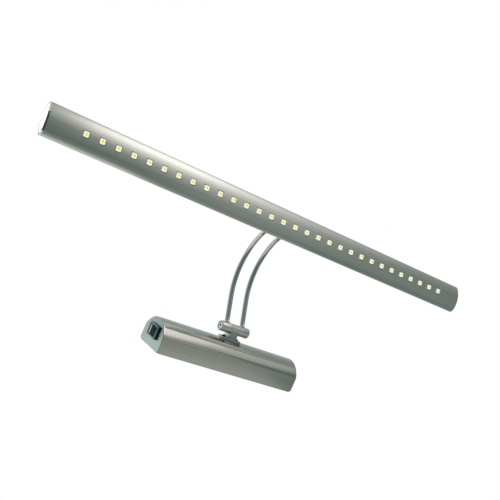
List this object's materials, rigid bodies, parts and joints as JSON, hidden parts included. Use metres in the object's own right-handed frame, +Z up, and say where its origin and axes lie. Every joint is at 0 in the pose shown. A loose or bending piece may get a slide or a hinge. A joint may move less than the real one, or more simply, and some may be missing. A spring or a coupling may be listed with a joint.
{
  "type": "picture light",
  "caption": "Wall-held picture light: arched base with rocker switch, friction hinge, two bent arms and a long oval lamp head with a row of LEDs.",
  "frame": {"origin": "middle of the base's wall face", "axes": "X along the lamp head, Y into the wall (the light stands out towards -Y), Z up as installed"},
  "size_m": [0.56, 0.1855, 0.0491],
  "materials": {
    "brushed_nickel_tube": "brushed nickel",
    "brushed_nickel_steel": "brushed nickel",
    "satin_end_plate": "satin",
    "bright_steel": "polished",
    "black_screw": "black oxide",
    "zinc_plate": "zinc plated",
    "black_switch": "gloss",
    "white_plastic": "moulded",
    "black_rubber": "matt",
    "board_dark": "solder mask",
    "led_white": "moulded",
    "wire_red": "PVC"
  },
  "bodies": {
    "base": {"base_housing": "brushed_nickel_steel", "bracket_screw_left": "black_screw", "bracket_screw_right": "black_screw", "cable_grommet": "black_rubber", "cover_screw_left": "bright_steel", "cover_screw_right": "bright_steel", "end_plate_left": "satin_end_plate", "end_plate_right": "satin_end_plate", "hinge_axle": "bright_steel", "hinge_bracket": "brushed_nickel_steel", "hinge_screw_left": "bright_steel", "hinge_screw_right": "bright_steel", "lamp_lead": "wire_red", "led_driver": "white_plastic", "live_wire": "wire_red", "switch_body": "black_switch", "terminal_block": "white_plastic", "wall_plate": "zinc_plate"},
    "arm_and_lamp": {"arm_collar_left": "brushed_nickel_steel", "arm_collar_right": "brushed_nickel_steel", "arm_left": "brushed_nickel_steel", "arm_right": "brushed_nickel_steel", "hinge_sleeve_left": "brushed_nickel_steel", "hinge_sleeve_right": "brushed_nickel_steel", "lamp_cap_left": "satin_end_plate", "lamp_cap_right": "satin_end_plate", "lamp_tube": "brushed_nickel_tube", "lamp_wire": "wire_red", "led_01": "led_white", "led_02": "led_white", "led_03": "led_white", "led_04": "led_white", "led_05": "led_white", "led_06": "led_white", "led_07": "led_white", "led_08": "led_white", "led_09": "led_white", "led_10": "led_white", "led_11": "led_white", "led_12": "led_white", "led_13": "led_white", "led_14": "led_white", "led_15": "led_white", "led_16": "led_white", "led_17": "led_white", "led_18": "led_white", "led_19": "led_white", "led_20": "led_white", "led_21": "led_white", "led_22": "led_white", "led_23": "led_white", "led_24": "led_white", "led_25": "led_white", "led_26": "led_white", "led_27": "led_white", "led_28": "led_white", "led_29": "led_white", "led_30": "led_white", "led_board": "board_dark"},
    "rocker": {"switch_rocker": "black_switch"}
  },
  "joints": [
    {"name": "arm_tilt", "type": "hinge", "parent": "base", "child": "arm_and_lamp", "pos_m": [0, -0.0437, 0], "axis": [-1, 0, 0], "range_deg": [-85, 85]},
    {"name": "switch_rocker_press", "type": "hinge", "parent": "base", "child": "rocker", "pos_m": [-0.0882, -0.0168, -0.0012], "axis": [0, 1, 0], "range_deg": [0, 18]}
  ]
}
